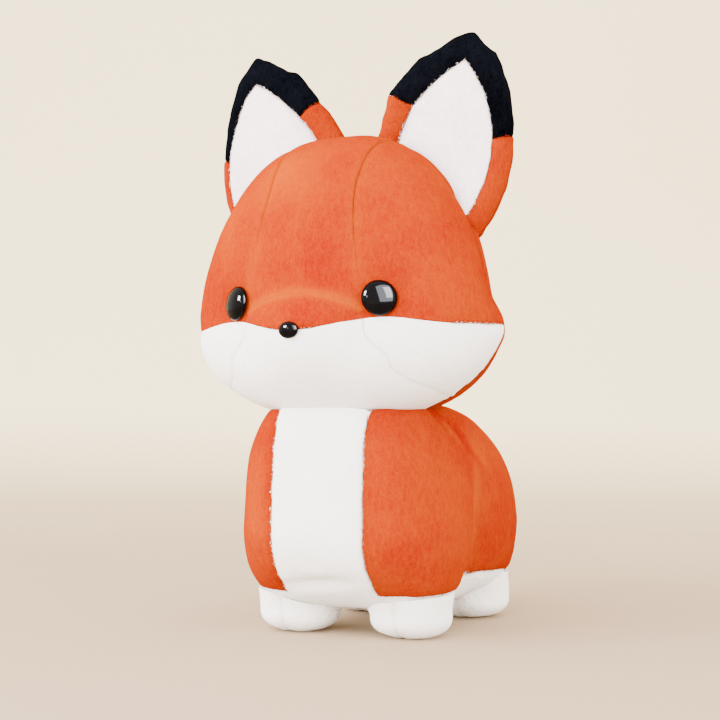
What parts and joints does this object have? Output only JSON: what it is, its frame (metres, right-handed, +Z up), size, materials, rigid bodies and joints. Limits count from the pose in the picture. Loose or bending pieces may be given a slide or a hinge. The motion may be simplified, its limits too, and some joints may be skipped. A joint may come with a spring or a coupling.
{
  "type": "plush fox",
  "caption": "Stuffed toy fox with a large soft head, pointed ears, black domed eyes, a white chest and short round paws, that stands on its soles.",
  "frame": {"origin": "on the floor plane under the paw soles, at the middle of the fox's footprint", "axes": "+Z up; the fox looks along -Y; +X is towards the fox's own left side"},
  "size_m": [0.1806, 0.2824, 0.332],
  "materials": {
    "orange_plush": "short dense pile, matt",
    "white_plush": "short dense pile, matt",
    "black_plush": "short dense pile, matt",
    "fibre_filling": "loose polyester fibre",
    "black_plastic": "polished",
    "clear_washer": "satin, as moulded"
  },
  "bodies": {
    "root": {"body_filling": "fibre_filling", "cheek_left": "white_plush", "cheek_right": "white_plush", "chest_belly_panel": "white_plush", "chin_panel": "white_plush", "crown_gusset": "orange_plush", "crown_left": "orange_plush", "crown_right": "orange_plush", "ear_back_left": "orange_plush", "ear_back_right": "orange_plush", "ear_back_tip_left": "black_plush", "ear_back_tip_right": "black_plush", "ear_filling_left": "fibre_filling", "ear_filling_right": "fibre_filling", "ear_lining_left": "white_plush", "ear_lining_right": "white_plush", "ear_rim_inner_left": "orange_plush", "ear_rim_inner_right": "orange_plush", "ear_rim_outer_left": "orange_plush", "ear_rim_outer_right": "orange_plush", "ear_rim_tip_left": "black_plush", "ear_rim_tip_right": "black_plush", "eye_left": "black_plastic", "eye_left_washer": "clear_washer", "eye_right": "black_plastic", "eye_right_washer": "clear_washer", "head_back_left": "orange_plush", "head_back_right": "orange_plush", "head_filling": "fibre_filling", "nose": "black_plastic", "nose_washer": "clear_washer", "paw_filling_front_left": "fibre_filling", "paw_filling_front_right": "fibre_filling", "paw_filling_rear_left": "fibre_filling", "paw_filling_rear_right": "fibre_filling", "paw_front_left": "white_plush", "paw_front_right": "white_plush", "paw_rear_left": "white_plush", "paw_rear_right": "white_plush", "side_left": "orange_plush", "side_right": "orange_plush", "snout_top": "orange_plush", "tail_cover": "orange_plush", "tail_filling": "fibre_filling", "tail_tip": "white_plush"}
  },
  "joints": []
}
